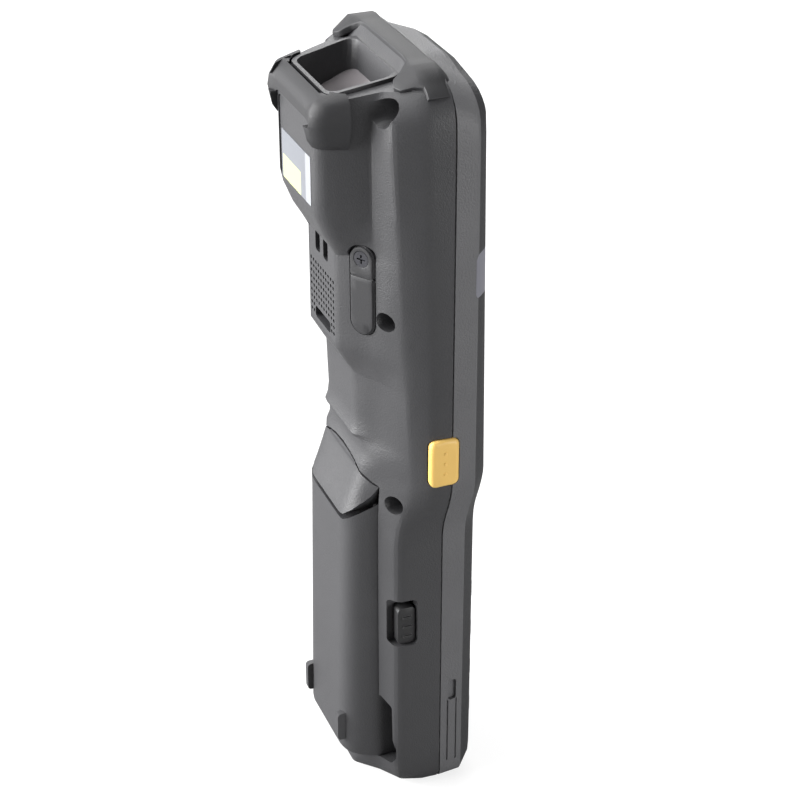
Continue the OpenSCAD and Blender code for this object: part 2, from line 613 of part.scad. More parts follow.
// The latch: a smooth pad cut out of the same form as the waist and the battery
function lip_height(x) = lip_z + lip_rise * side_rise(x);
function top_height(x) = hump_apex - (hump_apex - lip_z - lip_rise) * pow(x / (bay_w / 2), 2.3);
function top_edge(w, drop) = [for (i = [len(edge_steps) - 1:-1:0])
    [edge_steps[i] * w, top_height(edge_steps[i] * w) - drop]];
function latch_outline(shrink, drop) =
    let (w = bay_w / 2 - shrink)
    whole(concat([for (s = edge_steps) [s * w, lip_height(s * w) + shrink]], [[w, lip_z + lip_rise]],
        top_edge(w, shrink + drop)));
pocket_outline = whole(concat([[0, battery_z1 - 1], [bay_w / 2, battery_z1 - 1], [bay_w / 2, lip_z + lip_rise]],
    top_edge(bay_w / 2, 0)));
// The top edge stands out in front of the pin, so it rises when the latch swings
latch_rise = 1.8 * sin(latch_swing);
latch_floor = 14;
pin_at = [waist_d - 0.2, hump_apex - 2.3];
pin_r = 0.8;
pin_half = 10;
module latch_pocket() along_y(latch_floor, 60) polygon(pocket_outline);
module battery_latch()
    color(case_grey)
        difference() {
            intersection() {
                skin(back_sections);
                along_y(latch_floor + 2.2, 60) polygon(latch_outline(gap, latch_rise));
            }
            rod_x(pin_at[0], pin_at[1], pin_r + pin_gap, -30, 30);
        }
module latch_pin() color(steel) rod_x(pin_at[0], pin_at[1], pin_r, -pin_half, pin_half);

// Side lock: a ribbed slider in a window in the left wall
lock_y = [7, 15.2];
lock_z = [battery_z0 + 45.3, battery_z0 + 61.6];
lock_floor = bay_w / 2 + 1.7;
slider_h = lock_z[1] - lock_z[0] - lock_travel - 2 * gap;
module lock_window() along_x(-60, -lock_floor) polygon(round_box(lock_y[0], lock_z[0], lock_y[1], lock_z[1], 1.6));
module battery_lock()
    color([0.13, 0.13, 0.14])
        translate([-lock_floor - gap, 0, lock_z[0] + gap]) {
            mirror([1, 0, 0])
                along_x(0, grip_w / 2 - lock_floor - 1.9)
                    polygon(round_box(lock_y[0] + gap, 0, grip_shoulder.y - 0.4, slider_h, 1.4));
            for (k = [0:2])
                mirror([1, 0, 0])
                    along_x(1, grip_w / 2 - lock_floor - 1.3)
                        translate([lock_y[0] + 2.9, 2.6 + k * 3.4])
                            polygon(centred(3, 0.7, 0.3, 2));
        }

// Finger hollows beside the battery's lower end
module finger_hollow()
    along_y(9.4, 60)
        polygon(rounded([[bay_w / 2 - 1, battery_z0 - gap], [bay_w / 2 + 4.4, battery_z0 - gap],
            [bay_w / 2 + 6, battery_z0 + 2.2], [bay_w / 2 + 6, battery_z0 + 6], [bay_w / 2 + 4.9, battery_z0 + 9],
            [bay_w / 2 + 4.6, battery_z0 + 21.5], [bay_w / 2 - 1, battery_z0 + 24.5]], 1, 2));

contact_z = battery_z0 + 6;
module battery_contacts()
    color([0.75, 0.62, 0.3])
        difference() {
            along_y(board_y, bay_y) polygon(round_box(-8, contact_z, 8, contact_z + 6, 0.8));
            for (k = [-2:2])
                along_y(bay_y - 1, bay_y + 1) polygon(box_2d(k * 3 - 0.5, contact_z + 1, k * 3 + 0.5, contact_z + 5));
        }

// ---- case halves ---------------------------------------------------------------------------
room_w = 42;
room_z0 = 8;
room_z1 = length - 18;
module board_room(y0, y1) along_y(y0, y1) polygon(round_box(-room_w / 2, room_z0, room_w / 2, room_z1, 2));
module side_key_room()
    both_sides()
        along_x(case_w / 2 - side_key_in, case_w)
            translate([side_key_y, side_key_z]) polygon(key_ring(side_key_w, side_key_l, side_key_r, gap));
side_key_y = 2;
side_key_z = step_top + 7.5;
side_key_travel = 1;
side_key_in = 3.2;
strap_at = [rim_d - 2, 4];
strap_r = 0.9;
module strap_notch() {
    along_z(1.6, battery_z0 + 1) polygon(box_2d(-4, rim_d - 4.4, 4, rim_d + 5));
    rod_x(strap_at[0], strap_at[1], strap_r, -7, 7);
}
module strap_pin() color(steel) rod_x(strap_at[0], strap_at[1], strap_r, -7, 7);
dock_y = [-6.6, -2.6];
dock_w = 22;
dock_deep = 7;
module rear_case()
    color(case_grey)
        difference() {
            rear_form();
            battery_bay();
            latch_pocket();
            rod_x(pin_at[0], pin_at[1], pin_r, -pin_half, pin_half);
            both_sides() finger_hollow();
            lock_window();
            board_room(-1, 3.2);
            along_y(-1, bay_y + 1) polygon(round_box(-8 - gap, contact_z - gap, 8 + gap, contact_z + 6 + gap, 0.8));
            engine_room();
            scan_recess();
            window_seat();
            grille_room();
            port_room();
            side_key_room();
            for (z = screw_z)
                both_sides() {
                    rod_y(screw_x, z, well_r, screw_seat, 60);
                    rod_y(screw_x, z, screw_r + 0.1, -1, screw_seat + 1);
                }
            // The upper wells open out where the shoulder slopes away
            both_sides() translate([screw_x, 11, screw_z[2]]) rotate([-90, 0, 0])
                cylinder(h = 10, r1 = well_r, r2 = well_r + 2.4);
            front_bumper_form();
            rear_bumper_form();
            strap_notch();
            along_y(head_d - 0.4, 60)
                polygon(round_box(-12.6, label_z - 3, 12.6, bar_z0 - 1.2, 2));
        }
module blank_label()
    color([0.75, 0.76, 0.78])
        along_y(head_d - 0.4, head_d - 0.25) polygon(round_box(-11.4, label_z - 0.5, 11.4, label_z + 13.5, 0.4));

// Places of the keys on the front face
row_z = 21.5;
nav_z = row_z + 3 * key_pitch_z + key_h / 2 + nav_d / 2 + 13;
soft_x = key_pitch_x * 1.5 + 0.9;
glass_z0 = nav_z + nav_d / 2 + 9;
glass_z = glass_z0 + glass_h / 2;
view_edge = 3.6;
glass_t = 1.4;
flange = 0.8;
flange_t = 0.6;
center_r = 6.2;
function key_at(k) = [(k % 4 - 1.5) * key_pitch_x, row_z + (3 - floor(k / 4)) * key_pitch_z];
function soft_at(k) = [(k % 2 == 0 ? -1 : 1) * soft_x, nav_z + (k < 2 ? 8.4 : -8.4)];
soft_size = [6.6, 11];
key_r = 2;
soft_r = 2.8;
light_z = [length - 64, length - 51];
slot_y = [-5.7, -2.9];
module light_block() {
    along_x(-case_w, -case_w / 2 + 5.6)
        polygon(round_box(-front_d - 6, light_z[0], chamfer_d - front_d + 0.8, light_z[1], 1.6));
}
module front_case()
    color(case_grey)
        difference() {
            front_form();
            difference() {
                front_room();
                for (z = screw_z) both_sides() screw_boss(z);
                along_y(mat_y + 0.2, board_y - board_t) key_frame();
            }
            for (z = screw_z) both_sides() rod_y(screw_x, z, screw_r + 0.05, board_y - 1.3, 1);
            along_y(-front_d - 1, 1 - cavity_d) {
                for (k = [0:15]) translate(key_at(k)) polygon(key_ring(key_w, key_h, key_r, gap));
                for (k = [0:3]) translate(soft_at(k)) polygon(key_ring(soft_size.x, soft_size.y, soft_r, gap));
                translate([0, nav_z]) circle(d = nav_d + 2 * gap);
            }
            on_display() {
                along_y(-front_d - 1, 1 - cavity_d)
                    translate([0, glass_z]) polygon(centred(glass_w - 2 * view_edge, glass_h - 2 * view_edge, 1.5));
                along_y(-front_d - 1, -front_d + glass_t)
                    translate([0, glass_z]) polygon(centred(glass_w + 0.2, glass_h + 0.2, 3));
            }
            front_bumper_form();
            side_key_room();
            both_sides() light_block();
            // Guide for the cradle: a short slot and two grooves in each side
            both_sides() {
                along_x(grip_w / 2 - 1.2, grip_w)
                    polygon(round_box(slot_y[0], 30.5, slot_y[1], 38, 1));
                for (y = slot_y) along_x(grip_w / 2 - 0.5, grip_w) polygon(box_2d(y - 0.25, 7, y + 0.25, 30.6));
            }
            along_z(-1, dock_deep + 1) polygon(box_2d(-dock_w / 2, dock_y[0], dock_w / 2, dock_y[1]));
            along_y(-seal_t, 1) seal_loop();
        }
// The room inside the front half: level behind the keys, leaning back behind the display
module front_room() {
    along_y(-cavity_d, 1)
        intersection() {
            polygon(outline(cavity_in, 1, 3));
            polygon(box_2d(-case_w, 0, case_w, glass_z0 - 2));
        }
    on_display()
        along_y(-cavity_d, 2.6)
            intersection() {
                polygon(outline(cavity_in, 1, 3));
                polygon(box_2d(-case_w, glass_z0 - 3, case_w, length));
            }
}
module seal_loop()
    difference() {
        polygon(outline(seal_in[0]));
        polygon(outline(seal_in[1]));
    }
// A screw's boss stands out of the side wall, behind the display
module screw_boss(z) {
    rod_y(screw_x, z, well_r + 0.5, board_y - board_t, 2);
    along_y(board_y - board_t, 2) polygon(box_2d(screw_x, z - 2.2, case_w, z + 2.2));
}
// A ledge inside the keypad end, which the board lies on
mat_w = room_w - 2;
mat_z = [room_z0 + 4, glass_z0 - 6];
module key_frame()
    difference() {
        polygon(box_2d(-case_w, 0, case_w, mat_z[1] + 2.5));
        polygon(round_box(-mat_w / 2 - gap, mat_z[0] - gap, mat_w / 2 + gap, mat_z[1] + gap, 2));
    }
module case_gasket() color("black") along_y(-seal_t, 0) seal_loop();
module status_light(side)
    color([0.75, 0.76, 0.8, 0.7])
        intersection() {
            mirror([side < 0 ? 0 : 1, 0, 0]) light_block();
            front_form();
        }
module status_light_left() status_light(-1);
module status_light_right() status_light(1);

module case_screws()
    color(steel)
        for (z = screw_z)
            both_sides()
                difference() {
                    union() {
                        rod_y(screw_x, z, screw_r, board_y - 1, screw_seat);
                        rod_y(screw_x, z, screw_head_r, screw_seat, screw_seat + screw_head_t);
                    }
                    along_y(screw_seat + 1, screw_seat + 3) {
                        translate([screw_x, z]) square([2.8, 0.6], center = true);
                        translate([screw_x, z]) square([0.6, 2.8], center = true);
                    }
                }

module dock_connector()
    color([0.08, 0.08, 0.09])
        difference() {
            along_z(0.6, dock_deep) polygon(round_box(0.2 - dock_w / 2, dock_y[0] + 0.1, dock_w / 2 - 0.2,
                dock_y[1] - 0.1, 0.6));
            for (k = [-3:3]) along_z(0, 2.4) polygon(box_2d(k * 2.8 - 0.6, dock_y[0] + 1.2, k * 2.8 + 0.6,
                dock_y[1] - 1.2));
        }

// ---- display, keypad and boards ------------------------------------------------------------
module display_glass()
    color([0.05, 0.05, 0.06])
        on_display() along_y(-front_d, -front_d + glass_t) translate([0, glass_z]) polygon(centred(glass_w, glass_h, 2.9));
module display_module()
    color([0.3, 0.31, 0.33])
        on_display()
            along_y(-cavity_d, board_y - board_t - lean_d)
                translate([0, glass_z]) polygon(centred(glass_w - 1.4 * view_edge, glass_h - 1.4 * view_edge, 1));
module keypad_mat()
    color([0.35, 0.35, 0.36])
        along_y(mat_y, board_y - board_t)
            polygon(round_box(-mat_w / 2, mat_z[0], mat_w / 2, mat_z[1], 2));
module main_board()
    color([0.1, 0.3, 0.18])
        along_y(board_y - board_t, board_y)
            polygon(round_box(-room_w / 2 + 0.2, room_z0 + 2.2, room_w / 2 - 0.2, room_z1 - 2, 1.5));

// A key: a flange behind the front wall, a straight stem and a softly rounded top
key_y1 = -cavity_d + gap;
// The mat behind the keys leaves room for their travel
mat_y = key_y1 + flange_t + key_travel + gap;
module key_cap(w, h, r) {
    along_y(key_y1, key_y1 + flange_t) polygon(key_ring(w, h, r, flange));
    skin([for (l = [[key_y1, 0], [-front_d - key_up + 0.6, 0], [-front_d - key_up + 0.15, -0.4],
        [-front_d - key_up, -1.1]]) at_y(key_ring(w, h, r, l[1]), l[0])]);
}
// A key's outline, grown by a margin
function key_ring(w, h, r, grow) =
    let (x = w / 2 + grow, z = h / 2 + grow)
    symmetric(concat(fillet([-x, -z], [x, -z], [x, z], r + grow, 3), fillet([x, -z], [x, z], [-x, z], r + grow, 3)));
module number_key(k)
    color([0.2, 0.2, 0.21])
        translate([key_at(k).x, 0, key_at(k).y]) key_cap(key_w, key_h, key_r);
module soft_key(k)
    color([0.2, 0.2, 0.21])
        translate([soft_at(k).x, 0, soft_at(k).y]) key_cap(soft_size.x, soft_size.y, soft_r);
module nav_key()
    color([0.24, 0.24, 0.25])
        translate([0, 0, nav_z])
            rotate([90, 0, 0])
                rotate_extrude()
                    polygon([[center_r + gap, -key_y1 - flange_t], [nav_d / 2 + flange, -key_y1 - flange_t],
                        [nav_d / 2 + flange, -key_y1], [nav_d / 2, -key_y1], [nav_d / 2, front_d + 0.4],
                        [nav_d / 2 - 1, front_d + key_up], [center_r + 1, front_d + key_up - 0.2],
                        [center_r + gap, front_d + 0.2]]);
module center_key()
    color(key_yellow)
        translate([0, 0, nav_z])
            rotate([90, 0, 0])
                rotate_extrude()
                    polygon([[0, -key_y1 - flange_t], [center_r, -key_y1 - flange_t], [center_r, front_d + 0.2],
                        [center_r - 0.8, front_d + key_up - 0.3], [0, front_d + key_up - 0.1]]);

// Side scan key: across the seam, with a rounded outer face
side_key_up = 0.8;
side_key_r = 1.8;
function side_ring(x, grow) = [for (p = key_ring(side_key_w, side_key_l, side_key_r, grow)) [x, p.x, p.y]];
module side_key()
    translate([0, side_key_y, side_key_z])
        skin([side_ring(case_w / 2 - side_key_in + side_key_travel + gap, 0), side_ring(case_w / 2 + 0.1, 0),
            side_ring(case_w / 2 + side_key_up - 0.2, -0.4), side_ring(case_w / 2 + side_key_up, -1.1)]);
module scan_key_right() color(key_yellow) side_key();
module scan_key_left() color(key_yellow) mirror([1, 0, 0]) side_key();

// ---- what is drawn -------------------------------------------------------------------------
module placed() translate([0, seam_y, 0]) children();
placed() front_case();
placed() rear_case();
placed() front_bumper();
placed() rear_bumper();
placed() case_gasket();
placed() display_glass();
placed() display_module();
placed() keypad_mat();
placed() main_board();
placed() speaker_grille();
placed() speaker();
placed() scan_window();
placed() window_gasket();
placed() scan_engine();
placed() engine_bracket();
placed() blank_label();
placed() port_cover_tab();
placed() port_cover_flap();
placed() port_cover_screw();
placed() headset_jack();
placed() scan_key_left();
placed() scan_key_right();
placed() status_light_left();
placed() status_light_right();
placed() battery_pack();
placed() battery_contacts();
placed() battery_latch();
placed() latch_pin();
placed() battery_lock();
placed() case_screws();
placed() dock_connector();
placed() strap_pin();
placed() nav_key();
placed() center_key();
for (k = [0:3])
    placed() soft_key(k);
for (k = [0:15])
    placed() number_key(k);
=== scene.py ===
# %% [markdown]
# # A portable barcode data terminal
# The real object is a long handheld computer: two moulded case halves, a scan head on the back, a battery in the
# lower end, rubber bumpers, and rubber and hard plastic keys. The CAD frame already holds every rigid piece at its
# real size. What is left for Blender is what the eye reads on such a product: soft moulded edges, a fine spark
# grain, satin rubber, printed figures, a foil label and coated glass.

# %% Load the frame
import json
import math

import bmesh
import bpy
import numpy as np
from mathutils import Matrix, Vector
from mathutils.kdtree import KDTree

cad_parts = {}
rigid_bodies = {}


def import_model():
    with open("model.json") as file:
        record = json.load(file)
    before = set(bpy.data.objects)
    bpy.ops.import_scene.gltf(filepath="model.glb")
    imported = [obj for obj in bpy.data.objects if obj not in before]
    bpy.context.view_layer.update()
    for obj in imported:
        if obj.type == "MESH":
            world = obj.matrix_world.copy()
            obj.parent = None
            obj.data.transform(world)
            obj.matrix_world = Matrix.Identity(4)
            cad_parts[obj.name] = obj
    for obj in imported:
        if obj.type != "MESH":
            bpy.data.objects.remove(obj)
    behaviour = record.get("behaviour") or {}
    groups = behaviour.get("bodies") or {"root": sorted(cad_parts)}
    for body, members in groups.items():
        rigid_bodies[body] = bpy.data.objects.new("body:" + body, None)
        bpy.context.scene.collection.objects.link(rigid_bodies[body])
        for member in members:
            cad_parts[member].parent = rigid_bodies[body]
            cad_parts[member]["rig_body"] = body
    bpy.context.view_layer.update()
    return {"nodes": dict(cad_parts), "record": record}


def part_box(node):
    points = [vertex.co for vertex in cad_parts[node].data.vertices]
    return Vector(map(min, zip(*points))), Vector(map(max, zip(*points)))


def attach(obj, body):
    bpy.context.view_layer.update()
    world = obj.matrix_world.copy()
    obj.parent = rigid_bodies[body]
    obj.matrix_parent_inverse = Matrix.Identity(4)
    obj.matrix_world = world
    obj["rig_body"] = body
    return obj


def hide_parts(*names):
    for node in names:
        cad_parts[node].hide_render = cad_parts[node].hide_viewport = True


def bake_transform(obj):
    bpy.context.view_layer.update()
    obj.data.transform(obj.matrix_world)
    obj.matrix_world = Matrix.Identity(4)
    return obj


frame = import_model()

MM = 0.001
SEAM_Y = -10.4  # the plane where the two case halves meet, in millimetres

# %% [markdown]
# ## Camera
# A long lens from behind and above, on the left side, keeps the upright edges almost parallel, as a catalogue does.
# The place is given as a point in the frame, and the direction as two angles, because these can be read off a tripod
# and its head. An orbit rig would do the same with more objects.

# %% Camera
CAMERA_AT = Vector((-471.5, 182.7, 415.3)) * MM
CAMERA_TURN = math.radians(22.1)
CAMERA_DIP = math.radians(29.9)
CAMERA_LENS = 90.2


def add_object(name, data):
    """Adds an object that holds some data to the scene."""
    thing = bpy.data.objects.new(name, data)
    bpy.context.scene.collection.objects.link(thing)
    return thing


view_direction = Vector((
    math.cos(CAMERA_TURN) * math.cos(CAMERA_DIP),
    -math.sin(CAMERA_TURN) * math.cos(CAMERA_DIP),
    -math.sin(CAMERA_DIP),
))
camera = add_object("camera", bpy.data.cameras.new("camera"))
camera.location = CAMERA_AT
camera.rotation_euler = view_direction.to_track_quat("-Z", "Y").to_euler()
camera.data.lens = CAMERA_LENS
camera.data.clip_start = 0.01
bpy.context.scene.camera = camera
print("camera looks along", [round(v, 3) for v in view_direction])

# %% [markdown]
# ## Ground
# The product stands on a white sweep. A plain grey floor does it, with a glow that only the camera's rays see, so
# that it reads as paper white while the shadow at the foot stays. A floor that is white by its colour alone would
# throw much more light back up at the object.


# %% Materials and nodes
def new_material(name):
    """A material with one Principled shader; returns it with its node tree and shader."""
    material = bpy.data.materials.new(name)
    material.use_nodes = True
    return material, material.node_tree, material.node_tree.nodes["Principled BSDF"]


def add_node(tree, kind, **settings):
    """Adds a shader node, named by the end of its type, with some of its settings."""
    node = tree.nodes.new("ShaderNode" + kind)
    for name, value in settings.items():
        setattr(node, name, value)
    return node


def to_mesh(shape, name):
    """Ends a bmesh as a mesh."""
    mesh = bpy.data.meshes.new(name)
    shape.to_mesh(mesh)
    shape.free()
    return mesh


print("helpers ready")

# %% Floor
FLOOR_SIZE = 6.0
FLOOR_GREY = 0.28
FLOOR_GLOW = 0.8
FLOOR_DROP = 0.0002  # keeps the floor clear of the flat foot

shape = bmesh.new()
bmesh.ops.create_grid(shape, x_segments=1, y_segments=1, size=FLOOR_SIZE / 2)
floor = add_object("floor", to_mesh(shape, "floor"))
floor.location.z = -FLOOR_DROP

paper, tree, shader = new_material("paper_white")
shader.inputs["Base Color"].default_value = (FLOOR_GREY, FLOOR_GREY, FLOOR_GREY, 1)
shader.inputs["Roughness"].default_value = 0.9
shader.inputs["Specular IOR Level"].default_value = 0.0
shader.inputs["Emission Color"].default_value = (1, 1, 1, 1)
light_path = add_node(tree, "LightPath")
glow = add_node(tree, "Math", operation="MULTIPLY")
glow.inputs[1].default_value = FLOOR_GLOW
tree.links.new(light_path.outputs["Is Camera Ray"], glow.inputs[0])
tree.links.new(glow.outputs[0], shader.inputs["Emission Strength"])
floor.data.materials.append(paper)
print("floor", FLOOR_SIZE, "m wide")

# %% [markdown]
# ## Light
# Wide area lamps give satin plastic long soft highlights, which a sun or point lamp can't. The back lamp shapes the
# battery and the scan head, the top one the crown, the left one the long side, and the far one the display side. The
# world fills the shadows, and is white for the camera only.

# %% World
FILL = 0.16

world = bpy.data.worlds.new("studio")
bpy.context.scene.world = world
world.use_nodes = True
tree = world.node_tree
background = tree.nodes["Background"]
background.inputs["Color"].default_value = (1, 1, 1, 1)
light_path = add_node(tree, "LightPath")
level = add_node(tree, "Mix", data_type="FLOAT")
level.inputs[2].default_value = FILL
level.inputs[3].default_value = 1.0
tree.links.new(light_path.outputs["Is Camera Ray"], level.inputs[0])
tree.links.new(level.outputs[0], background.inputs["Strength"])
print("world fill", FILL)

# %% Lamps
MIDDLE = Vector((0, 0, 120)) * MM  # what every lamp faces
LAMPS = {
    # name: place and size in metres, power in watts
    "softbox_back": ((0.4, 1.12, 0.45), (1.0, 1.0), 47.0),
    "softbox_top": ((0.35, 0.15, 1.35), (0.9, 0.9), 12.0),
    "softbox_far": ((1.05, -0.42, 0.8), (0.9, 0.7), 9.0),
    "softbox_left": ((-1.05, -0.65, 0.1), (0.7, 0.8), 14.5),
}

for name, (place, size, power) in LAMPS.items():
    light = bpy.data.lights.new(name, "AREA")
    light.shape = "RECTANGLE"
    light.size, light.size_y = size
    light.energy = power
    lamp = add_object(name, light)
    lamp.location = Vector(place)
    lamp.rotation_euler = (MIDDLE - lamp.location).to_track_quat("-Z", "Y").to_euler()
bpy.context.scene.view_settings.view_transform = "Standard"
print(len(LAMPS), "lamps")

# %% [markdown]
# ## Grain, painted edge highlights and printed fields
# Every moulded face of such a product carries the tool's grain: a fine spark texture on the hard shells, less of it
# on rubber, and almost none on keys. The rounded edges get a painted highlight, a paler tone, and a smoother polish,
# and some faces have printed fields or a paler field, which on the front shell's side is partly painted light. Each
# of the three is one shader group, placed in several materials with its own values, so that the pieces look moulded
# in one factory. An image texture would do too, but noise never repeats or blurs up close.

# %% Spark grain
FLOAT = "NodeSocketFloat"
VECTOR = "NodeSocketVector"
BROAD_SCALE = 60.0  # blotches per metre, which shift the tone a little


def new_group(name, inputs, outputs):
    """An empty shader group with named inputs and outputs; returns it with its two end nodes."""
    group = bpy.data.node_groups.new(name, "ShaderNodeTree")
    for label, kind, value in inputs:
        socket = group.interface.new_socket(label, in_out="INPUT", socket_type=kind)
        if value is not None:
            socket.default_value = value
    for label in outputs:
        group.interface.new_socket(label, in_out="OUTPUT", socket_type=FLOAT)
    return group, group.nodes.new("NodeGroupInput"), group.nodes.new("NodeGroupOutput")


grain_group, start, end = new_group(
    "spark_grain",
    [("Vector", VECTOR, None), ("Grains per metre", FLOAT, 4000.0), ("Unevenness", FLOAT, 0.5)],
    ["Height", "Tone"],
)
fine = add_node(grain_group, "TexNoise")
fine.inputs["Detail"].default_value = 2.0
broad = add_node(grain_group, "TexNoise")
broad.inputs["Scale"].default_value = BROAD_SCALE
broad.inputs["Detail"].default_value = 4.0
mix = add_node(grain_group, "Mix", data_type="FLOAT")
mix.inputs[2].default_value = 0.5
grain_group.links.new(start.outputs["Vector"], fine.inputs["Vector"])
grain_group.links.new(start.outputs["Vector"], broad.inputs["Vector"])
grain_group.links.new(start.outputs["Grains per metre"], fine.inputs["Scale"])
grain_group.links.new(start.outputs["Unevenness"], mix.inputs[0])
grain_group.links.new(broad.outputs["Fac"], mix.inputs[3])
grain_group.links.new(fine.outputs["Fac"], end.inputs["Height"])
grain_group.links.new(mix.outputs[0], end.inputs["Tone"])
print(grain_group.name, "has", len(grain_group.nodes), "nodes")

# %% Painted edge highlights
EDGE_HIGHLIGHT_LIFT = 2.0  # how far the painted highlight lifts a rounded edge, in steps from its dark tone to its light one

edge_highlight_group, start, end = new_group(
    "painted_edge_highlight",
    [("Edge", FLOAT, 0.0), ("Tone", FLOAT, 0.5), ("Polish", FLOAT, 0.1)],
    ["Tone", "Roughness"],
)
lift = add_node(edge_highlight_group, "Math", operation="MULTIPLY_ADD")
lift.inputs[1].default_value = EDGE_HIGHLIGHT_LIFT
rub = add_node(edge_highlight_group, "Math", operation="MULTIPLY")
smooth = add_node(edge_highlight_group, "Math", operation="SUBTRACT")
edge_highlight_group.links.new(start.outputs["Edge"], lift.inputs[0])
edge_highlight_group.links.new(start.outputs["Tone"], lift.inputs[2])
edge_highlight_group.links.new(start.outputs["Edge"], rub.inputs[0])
edge_highlight_group.links.new(start.outputs["Polish"], rub.inputs[1])
edge_highlight_group.links.new(start.outputs["Tone"], smooth.inputs[0])
edge_highlight_group.links.new(rub.outputs[0], smooth.inputs[1])
edge_highlight_group.links.new(lift.outputs[0], end.inputs["Tone"])
edge_highlight_group.links.new(smooth.outputs[0], end.inputs["Roughness"])
print(edge_highlight_group.name, "has", len(edge_highlight_group.nodes), "nodes")

# %% Printed fields
# Inside a box, a point is nearer to the centre than half the size along all three axes. So the least of the three
# differences is above zero there, and nowhere else.
field_group, start, end = new_group(
    "printed_field",
    [("Vector", VECTOR, None), ("Centre", VECTOR, (0, 0, 0)), ("Half size", VECTOR, (1, 1, 1))],
    ["Mask"],
)
away = add_node(field_group, "VectorMath", operation="SUBTRACT")
span = add_node(field_group, "VectorMath", operation="ABSOLUTE")
inside = add_node(field_group, "VectorMath", operation="SUBTRACT")
parts = add_node(field_group, "SeparateXYZ")
least_xz = add_node(field_group, "Math", operation="MINIMUM")
least = add_node(field_group, "Math", operation="MINIMUM")
mask = add_node(field_group, "Math", operation="GREATER_THAN")
mask.inputs[1].default_value = 0.0
field_group.links.new(start.outputs["Vector"], away.inputs[0])
field_group.links.new(start.outputs["Centre"], away.inputs[1])
field_group.links.new(away.outputs[0], span.inputs[0])
field_group.links.new(start.outputs["Half size"], inside.inputs[0])
field_group.links.new(span.outputs[0], inside.inputs[1])
field_group.links.new(inside.outputs[0], parts.inputs[0])
field_group.links.new(parts.outputs["X"], least_xz.inputs[0])
field_group.links.new(parts.outputs["Z"], least_xz.inputs[1])
field_group.links.new(least_xz.outputs[0], least.inputs[0])
field_group.links.new(parts.outputs["Y"], least.inputs[1])
field_group.links.new(least.outputs[0], mask.inputs[0])
field_group.links.new(mask.outputs[0], end.inputs["Mask"])
print(field_group.name, "has", len(field_group.nodes), "nodes")

# %% [markdown]
# ## Moulded finishes
# A moulded finish is two close tones, a mean roughness and a grain. The front shell has the coarsest grain, the
# rubber a softer one, and the keys hardly any. The circuit board and the label's foil take the same recipe. The edge
# mask, which lifts rounded edges to a painted highlight and gives them a smoother polish, comes from the attribute
# that the rounded copies get further down, and is zero on a piece without it.
# The colours are given as screen levels, because that is how one picks them.

# %% Moulded finishes
UNEVENNESS = 0.6
EDGE_POLISH = 0.12
POLISH_SPREAD = 0.06
GRAIN_STRENGTH = 0.6


def srgb(*levels):
    """The linear colour of three 0 to 255 screen levels."""
    return tuple(((v / 255 + 0.055) / 1.055) ** 2.4 if v > 10 else v / 255 / 12.92 for v in levels) + (1.0,)


def moulded(name, dark, light, roughness, grains, depth):
    """A moulded finish: two close tones, a mean roughness, and a grain of some count per metre and depth."""
    material, tree, shader = new_material(name)
    links = tree.links
    place = add_node(tree, "TexCoord")
    grain = add_node(tree, "Group", node_tree=grain_group)
    grain.inputs["Grains per metre"].default_value = grains
    grain.inputs["Unevenness"].default_value = UNEVENNESS
    links.new(place.outputs["Object"], grain.inputs["Vector"])
    # The rounded edges are lifted towards the light tone as a painted highlight, and polished smoother.
    edge = add_node(tree, "Attribute", attribute_name="edge_highlight_and_polish")
    highlighted = add_node(tree, "Group", node_tree=edge_highlight_group)
    highlighted.inputs["Polish"].default_value = EDGE_POLISH
    links.new(edge.outputs["Fac"], highlighted.inputs["Edge"])
    links.new(grain.outputs["Tone"], highlighted.inputs["Tone"])
    tone = add_node(tree, "Mix", data_type="RGBA", clamp_factor=False)
    tone.inputs[6].default_value = srgb(*dark)
    tone.inputs[7].default_value = srgb(*light)
    links.new(highlighted.outputs["Tone"], tone.inputs[0])
    links.new(tone.outputs[2], shader.inputs["Base Color"])
    polish = add_node(tree, "MapRange")
    polish.inputs["To Min"].default_value = roughness - POLISH_SPREAD
    polish.inputs["To Max"].default_value = roughness + POLISH_SPREAD
    links.new(highlighted.outputs["Roughness"], polish.inputs["Value"])
    links.new(polish.outputs["Result"], shader.inputs["Roughness"])
    bump = add_node(tree, "Bump")
    bump.inputs["Strength"].default_value = GRAIN_STRENGTH
    bump.inputs["Distance"].default_value = depth
    links.new(grain.outputs["Height"], bump.inputs["Height"])
    links.new(bump.outputs["Normal"], shader.inputs["Normal"])
    return material


MOULDED = {
    # name: dark tone, light tone, roughness, grains per metre, grain depth in metres
    "case_plastic": ((60, 60, 62), (70, 70, 72), 0.46, 2200, 0.00016),
    "front_plastic": ((48, 48, 50), (56, 56, 58), 0.52, 1800, 0.00024),
    "rubber": ((42, 42, 44), (50, 50, 52), 0.6, 2200, 0.00008),
    "key_grey": ((66, 66, 70), (74, 74, 78), 0.55, 3000, 0.00003),
    "key_yellow": ((246, 200, 108), (250, 208, 120), 0.42, 3000, 0.00003),
    "black_plastic": ((38, 38, 39), (46, 46, 47), 0.45, 3500, 0.00003),
    "board": ((20, 70, 45), (24, 84, 52), 0.4, 900, 0.00002),
    "label": ((112, 114, 120), (134, 137, 143), 0.4, 2500, 0.00001),
}
finishes = {name: moulded(name, *values) for name, values in MOULDED.items()}
print("moulded finishes", sorted(finishes))

# %% [markdown]
# ## Metal, glass, ink and the light pipe
# These have one colour all over, so it is set on the shader itself. Only the polish wanders a little, as on any
# touched surface. The glasses have a clear coat, and the light pipe lets part of the light through.

# %% Plain finishes
SMEAR_SCALE = 90.0
SMEAR_LOW, SMEAR_HIGH = 0.8, 1.3


